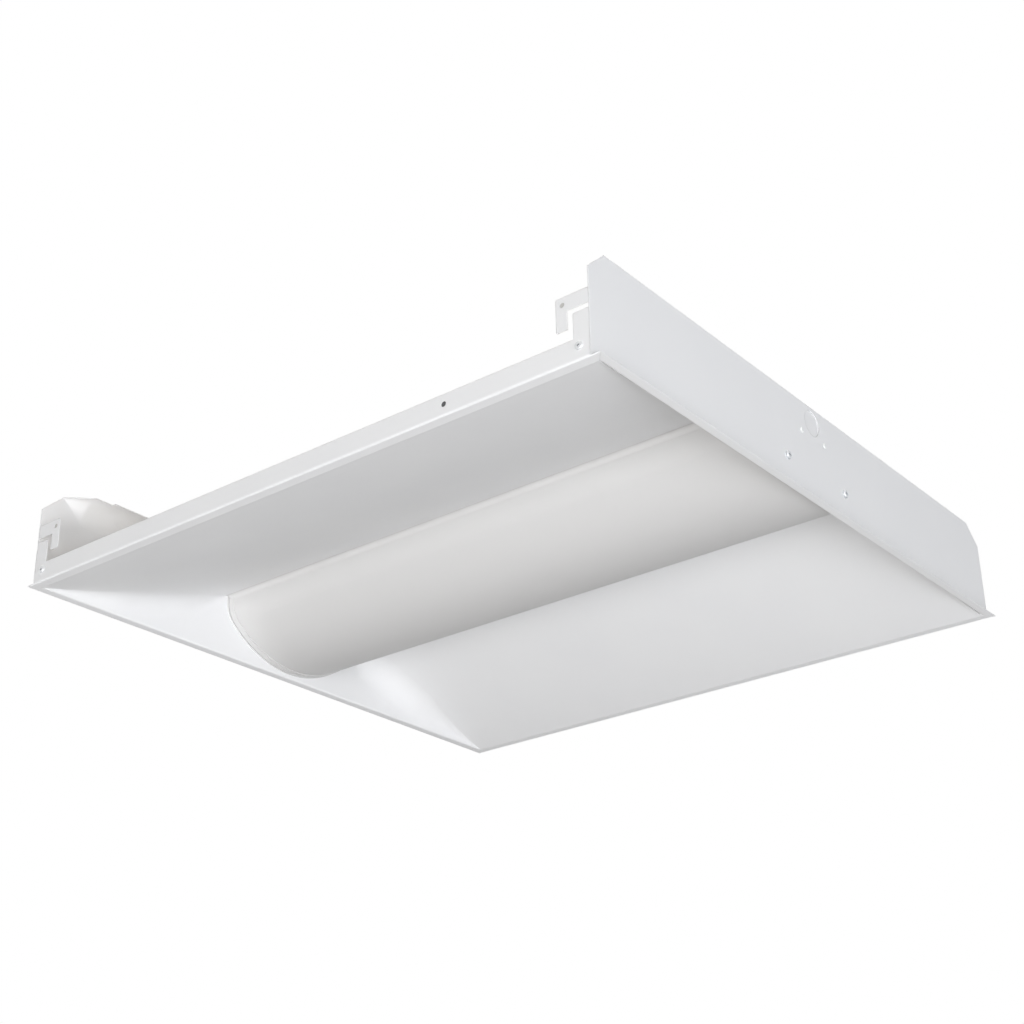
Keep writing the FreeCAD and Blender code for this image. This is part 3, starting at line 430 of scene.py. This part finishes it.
def lensOutline(stand):
    # the lens section grown by stand, as (y, z) in mm from one top edge to the other
    v = capSleeve
    shoulderY = v["halfWidthMm"] - v["shoulderRadiusMm"]
    crownZ = v["bottomMm"] + v["crownRadiusMm"]
    shoulderZ = crownZ - math.sqrt((v["crownRadiusMm"] - v["shoulderRadiusMm"]) ** 2 - shoulderY ** 2)
    lean = math.degrees(math.atan2(shoulderY, crownZ - shoulderZ))
    half = []
    for k in range(int(90 / v["stepDegrees"]) + 1):
        turn = math.radians(k * v["stepDegrees"])
        if k * v["stepDegrees"] <= lean:
            radius, y, z = v["crownRadiusMm"] + stand, 0, crownZ
        else:
            radius, y, z = v["shoulderRadiusMm"] + stand, shoulderY, shoulderZ
        half.append((y + radius * math.sin(turn), z - radius * math.cos(turn)))
    half.append((v["halfWidthMm"] + stand, v["topMm"]))
    return [(-y, z) for y, z in reversed(half[1:])] + half


def buildCapSleeves():
    # a thin band round each end of the lens gives the fine double line that is seen there
    v = capSleeve
    points, faces = [], []
    outside, inside = lensOutline(v["standMm"]), lensOutline(v["clearMm"])
    for end in (1, -1):
        x0, x1 = end * v["fromMm"] * mm, end * v["toMm"] * mm
        rings = [[(x0, out[0] * mm, out[1] * mm), (x1, out[0] * mm, out[1] * mm),
                  (x1, back[0] * mm, back[1] * mm), (x0, back[0] * mm, back[1] * mm)]
                 for out, back in zip(outside, inside)]
        loft(points, faces, rings if end < 0 else rings[::-1])
    return addPiece("capSleeves", points, faces, finishOfSlot["frosted_lens"], "lens")


buildCapSleeves()


# ---- coves in the corners between end plates and reflectors ----

cornerCove = {
    "plateMm": 293.2,          # inner face of the end plates
    "nearRadiusMm": 16.0,
    "farRadiusMm": 25.0,
    "riseShare": 0.9,          # near the trim the cove is no taller than the reflector's rise
    "footMm": 88.2,            # near the lens it narrows to keep clear of the end cap
    "footRadiusMm": 1.5,
    "nearFootShare": 0.35,
    "farFootShare": 1.3,
    "fullness": 0.42,          # of the curve: a circle has 0.45, less is sharper in the middle
    "startMm": (291.6, 0.4),   # (across, up): the reflector's underside by the trim
    "endMm": (86.2, 59.1),     # and by the lens
    "bowMm": 4.8,
    "liftMm": 0.02,            # off the sheets
    "leastMm": 0.3,
    "steps": 60,
    "turns": 14,
}


def reflectorCurve():
    # points and downward normals along the reflector's underside, as (y, z) in mm
    v = cornerCove
    (y0, z0), (y1, z1) = v["startMm"], v["endMm"]
    chord = math.hypot(y1 - y0, z1 - z0)
    radius = (chord ** 2 / 4 + v["bowMm"] ** 2) / (2 * v["bowMm"])
    alongY, alongZ = (y1 - y0) / chord, (z1 - z0) / chord
    downY, downZ = alongZ, -alongY
    if downZ > 0:
        downY, downZ = -downY, -downZ
    middleY = (y0 + y1) / 2 - downY * (radius - v["bowMm"])
    middleZ = (z0 + z1) / 2 - downZ * (radius - v["bowMm"])
    half = math.asin(chord / 2 / radius)
    curve = []
    for k in range(v["steps"] + 1):
        turn = half * (2 * k / v["steps"] - 1)
        outY = downY * math.cos(turn) + alongY * math.sin(turn)
        outZ = downZ * math.cos(turn) + alongZ * math.sin(turn)
        curve.append((middleY + outY * radius, middleZ + outZ * radius, outY, outZ))
    return [station for station in curve if station[0] >= v["footMm"]]


def coveSection(radius):
    # (from the plate, from the reflector) from one tangent line to the other
    v = cornerCove
    near, far = v["fullness"] * radius, radius
    section = []
    for k in range(v["turns"] + 1):
        t = k / v["turns"]
        weights = ((1 - t) ** 3, 3 * t * (1 - t) ** 2, 3 * t * t * (1 - t), t ** 3)
        section.append((near * weights[2] + far * weights[3], far * weights[0] + near * weights[1]))
    return section


def buildCornerCoves():
    # an open ribbon over each seam, so the corners fade softly into each other
    v = cornerCove
    points, faces = [], []
    lift = v["liftMm"]
    for end in (1, -1):
        for side in (1, -1):
            widest = v["farRadiusMm"] if side > 0 else v["nearRadiusMm"]
            share = v["farFootShare"] if side > 0 else v["nearFootShare"]
            rows = []
            for y, z, outY, outZ in reflectorCurve():
                atFoot = v["footRadiusMm"] + (y - v["footMm"]) * share
                radius = max(v["leastMm"], min(widest, z * v["riseShare"], atFoot))
                rows.append([(end * (v["plateMm"] - fromPlate - lift) * mm,
                              side * (y + outY * (fromReflector + lift)) * mm,
                              (z + outZ * (fromReflector + lift)) * mm)
                             for fromPlate, fromReflector in coveSection(radius)])
            ribbon(points, faces, rows, end * side < 0)
    return addPiece("cornerCoves", points, faces, finishOfSlot["white_paint"], "fixture",
                    smooth=True)


buildCornerCoves()


# ---- coves inside the top folds of the end plates ----

foldCove = {
    "plateMm": 293.18,
    "underMm": 89.18,
    "radiusMm": 20.0,
    "startMm": 281.4,          # the fold narrows to nothing here
    "endMm": 150.0,
    "share": 0.95,
    "leastMm": 0.2,
    "stations": 60,
    "steps": 14,
}


def buildFoldCoves():
    # an open ribbon inside the top fold, which has no sharp line when seen from below
    v = foldCove
    points, faces = [], []
    for end in (1, -1):
        for side in (1, -1):
            rows = []
            for i in range(v["stations"] + 1):
                y = v["startMm"] + (v["endMm"] - v["startMm"]) * i / v["stations"]
                radius = max(v["leastMm"], min(v["radiusMm"], (v["startMm"] - y) * v["share"]))
                turns = [math.pi / 2 * k / v["steps"] for k in range(v["steps"] + 1)]
                rows.append([(end * (v["plateMm"] - radius * (1 - math.cos(turn))) * mm, side * y * mm,
                              (v["underMm"] - radius * (1 - math.sin(turn))) * mm) for turn in turns])
            ribbon(points, faces, rows, end * side > 0)
    return addPiece("foldCoves", points, faces, finishOfSlot["white_paint"], "fixture",
                    smooth=True)


buildFoldCoves()


# ---- discs in the holes: painted shade, dark and grey, for the shadow seen inside each hole; a guess ----

# both colours are painted shade: they stand for the shadowed depth inside the holes
holeShadeGrey = plainFinish("paintedShadeGreyFinish")
holeShadeDark = plainFinish("paintedShadeDarkFinish")
holeShadeDisc = {"sunkMm": 0.3, "depthMm": 0.9, "flangeMm": 3.2, "flangeFromMm": 0.82}
wallHole = {"alongMm": 165.0, "acrossMm": 301.6, "upMm": 9.4, "radiusMm": 2.15}
clipHole = {"alongMm": 271.1, "acrossMm": 301.6, "upMm": 48.0, "radiusMm": 1.95}


def buildHoleShadeDisc(name, centre, outward, radius, material, body):
    # a sunk face in the hole and a thin flange on the hidden side, in a flat colour that paints the hole's
    # shade
    v = holeShadeDisc
    points, faces = [], []
    back = -(v["sunkMm"] + v["depthMm"]) * mm
    flange = -v["flangeFromMm"] * mm
    profile = [(back, v["flangeMm"] * mm), (flange, v["flangeMm"] * mm), (flange, radius * mm),
               (-v["sunkMm"] * mm, radius * mm)]
    turnedSolid(points, faces, centre, outward, profile)
    return addPiece(name, points, faces, material, body)


def buildHoleShadeDiscs():
    v = wallHole
    for side, name in ((1, "wallHoleShadeDiscFar"), (-1, "wallHoleShadeDiscNear")):
        place = (-side * v["alongMm"] * mm, side * v["acrossMm"] * mm, v["upMm"] * mm)
        buildHoleShadeDisc(name, place, (0, side, 0), v["radiusMm"], holeShadeDark, "fixture")
    v = clipHole
    for end, endName in ((1, "right"), (-1, "left")):
        for side, sideName in ((1, "far"), (-1, "near")):
            place = (end * v["alongMm"] * mm, side * v["acrossMm"] * mm, v["upMm"] * mm)
            corner = endName + "_" + sideName
            buildHoleShadeDisc("clipHoleShadeDisc_" + corner, place, (0, side, 0), v["radiusMm"], holeShadeGrey,
                          "clip_" + corner)


buildHoleShadeDiscs()
print("lens lips, cap sleeves, coves and plugs built")


# ---- rivet stems and knock-outs ----

rivetStem = {
    "alongMm": 284.2,
    "acrossMm": 301.6,
    "upMm": 11.0,
    "radiusMm": 1.01,
    "sunkMm": 0.3,
    "lengthMm": 1.2,
    "taperMm": 0.2,
    "tipShare": 0.7,
    "sides": 16,
}
knockout = {"upMm": 74.35, "radiusMm": 11.7, "fromMm": 292.35, "toMm": 293.1, "sides": 48}


def buildRivetStems():
    # what is left of each blind rivet's stem sits sunk in its middle
    v = rivetStem
    points, faces = [], []
    for end in (1, -1):
        for side in (1, -1):
            profile = [((-v["sunkMm"] - v["lengthMm"]) * mm, v["radiusMm"] * mm),
                       ((-v["sunkMm"] - v["taperMm"]) * mm, v["radiusMm"] * mm),
                       (-v["sunkMm"] * mm, v["radiusMm"] * v["tipShare"] * mm)]
            place = (end * v["alongMm"] * mm, side * v["acrossMm"] * mm, v["upMm"] * mm)
            turnedSolid(points, faces, place, (0, side, 0), profile, v["sides"])
    return addPiece("rivetStems", points, faces, finishOfSlot["rivet"], "fixture")


def buildKnockouts():
    # the knock-outs are pressed a little inwards, so the edge on one side takes the light
    v = knockout
    points, faces = [], []
    for end in (1, -1):
        profile = [(v["fromMm"] * mm, v["radiusMm"] * mm), (v["toMm"] * mm, v["radiusMm"] * mm)]
        turnedSolid(points, faces, (0, 0, v["upMm"] * mm), (end, 0, 0), profile, v["sides"])
    discs = addPiece("pressedKnockouts", points, faces, finishOfSlot["white_paint"], "fixture")
    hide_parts("knockout_discs")
    return discs


buildRivetStems()
buildKnockouts()
print("rivet stems and knock-outs built")


# ---- floor, light and camera ----

studio = {
    "floorDrop": 2.4,
    "floorSize": 60.0,
    "floorColour": "#ECECEC",
    "floorRoughness": 0.8,
    "floorPaleness": 0.62,     # added where the floor is seen, and not to its light
    "ambient": 0.12,
    "ambientColour": "#FFFFFF",
}

lamps = {
    # name: place in metres, width, height, watts, colour
    "cornerWindow": ((2.2, -2.4, -0.8), 2.4, 1.4, 17.0, "#FFFFFF"),
    "nearWindow": ((0.9, -2.8, -1.4), 2.2, 1.4, 45.6, "#FFFFFF"),
    "rightWindow": ((2.8, -1.3, -1.4), 2.2, 1.4, 48.0, "#F7FAFF"),
    "nearSlot": ((0.2, -2.2, -0.12), 2.0, 0.8, 2.4, "#FFFFFF"),
    "rightSlot": ((2.3, -0.3, -0.12), 1.8, 0.8, 4.8, "#F7FAFF"),
    "topCard": ((-0.3, 0.15, 1.3), 1.6, 1.6, 12.0, "#FFF4E4"),
    "farCard": ((-0.3, 1.8, 0.6), 1.4, 0.8, 13.0, "#FFFFFF"),
    "leftCard": ((-1.8, 0.2, 0.6), 1.4, 0.8, 13.0, "#FFF8F0"),
}


def seenRays(tree):
    # 1 where the backdrop is looked at, directly, in a reflection or through glass, and 0 where it lights
    path = addNode(tree, "ShaderNodeLightPath")
    seen = addNode(tree, "ShaderNodeMath", links={0: (path, "Is Camera Ray"), 1: (path, "Is Glossy Ray")},
                   operation="MAXIMUM")
    return addNode(tree, "ShaderNodeMath", links={0: (seen, 0), 1: (path, "Is Transmission Ray")},
                   operation="MAXIMUM")


def buildFloor():
    v = studio
    half = v["floorSize"] / 2
    mesh = bpy.data.meshes.new("studioFloor")
    corners = [(-half, -half, 0), (half, -half, 0), (half, half, 0), (-half, half, 0)]
    mesh.from_pydata(corners, [], [(0, 1, 2, 3)])
    floor = bpy.data.objects.new("studioFloor", mesh)
    floor.location.z = -v["floorDrop"]
    bpy.context.scene.collection.objects.link(floor)
    material, tree = newMaterial("matteStudioFloor")
    shown = addNode(tree, "ShaderNodeMath", {1: v["floorPaleness"]}, {0: (seenRays(tree), 0)},
                    operation="MULTIPLY")
    shader = addNode(tree, "ShaderNodeBsdfPrincipled",
                     {"Base Color": fromHex(v["floorColour"]), "Roughness": v["floorRoughness"],
                      "Emission Color": fromHex(v["floorColour"])}, {"Emission Strength": (shown, 0)})
    finishMaterial(tree, shader)
    mesh.materials.append(material)
    return floor


def buildWorld():
    v = studio
    world = bpy.data.worlds.new("studioWorld")
    bpy.context.scene.world = world
    world.use_nodes = True
    tree = world.node_tree
    tree.nodes.clear()
    shown = seenRays(tree)
    ambient = addNode(tree, "ShaderNodeBackground",
                      {"Color": fromHex(v["ambientColour"]), "Strength": v["ambient"]})
    white = addNode(tree, "ShaderNodeBackground", {"Color": (1, 1, 1, 1), "Strength": 1.0})
    mixed = addNode(tree, "ShaderNodeMixShader",
                    links={0: (shown, 0), 1: (ambient, "Background"), 2: (white, "Background")})
    addNode(tree, "ShaderNodeOutputWorld", links={"Surface": (mixed, "Shader")})


def buildLamp(name, place, width, height, watts, colour):
    data = bpy.data.lights.new(name, "AREA")
    data.shape = "RECTANGLE"
    data.size = width
    data.size_y = height
    data.energy = watts
    data.color = fromHex(colour)[:3]
    lamp = bpy.data.objects.new(name, data)
    lamp.location = place
    lamp.visible_camera = False
    lamp.rotation_euler = (-Vector(place)).to_track_quat("-Z", "Y").to_euler()
    bpy.context.scene.collection.objects.link(lamp)
    return lamp


buildFloor()
buildWorld()
for lampName, lampValues in lamps.items():
    buildLamp(lampName, *lampValues)
print("floor, world and", len(lamps), "lamps placed")

photoCamera = {
    "place": (0.87431, -1.12159, -0.59914),
    "heading": 2.2404,         # radians, from +X towards +Y
    "rise": 0.4500,            # radians above the horizon
    "roll": -0.0146,
    "lensMm": 61.85,
    "sensorMm": 36.0,
    "clipStart": 0.05,
    "clipEnd": 50,
}


def buildCamera():
    v = photoCamera
    forward = Vector((math.cos(v["rise"]) * math.cos(v["heading"]),
                      math.cos(v["rise"]) * math.sin(v["heading"]), math.sin(v["rise"])))
    right = forward.cross(Vector((0, 0, 1))).normalized()
    up = right.cross(forward)
    c, s = math.cos(v["roll"]), math.sin(v["roll"])
    rolledRight = right * c + up * s
    rolledUp = up * c - right * s
    turn = Matrix((rolledRight, rolledUp, -forward)).transposed().to_4x4()
    data = bpy.data.cameras.new("photoCamera")
    data.lens = v["lensMm"]
    data.sensor_width = v["sensorMm"]
    data.clip_start = v["clipStart"]
    data.clip_end = v["clipEnd"]
    camera = bpy.data.objects.new("photoCamera", data)
    camera.matrix_world = Matrix.Translation(Vector(v["place"])) @ turn
    bpy.context.scene.collection.objects.link(camera)
    bpy.context.scene.camera = camera


buildCamera()
bpy.context.scene.view_settings.view_transform = "Standard"
print("camera set")
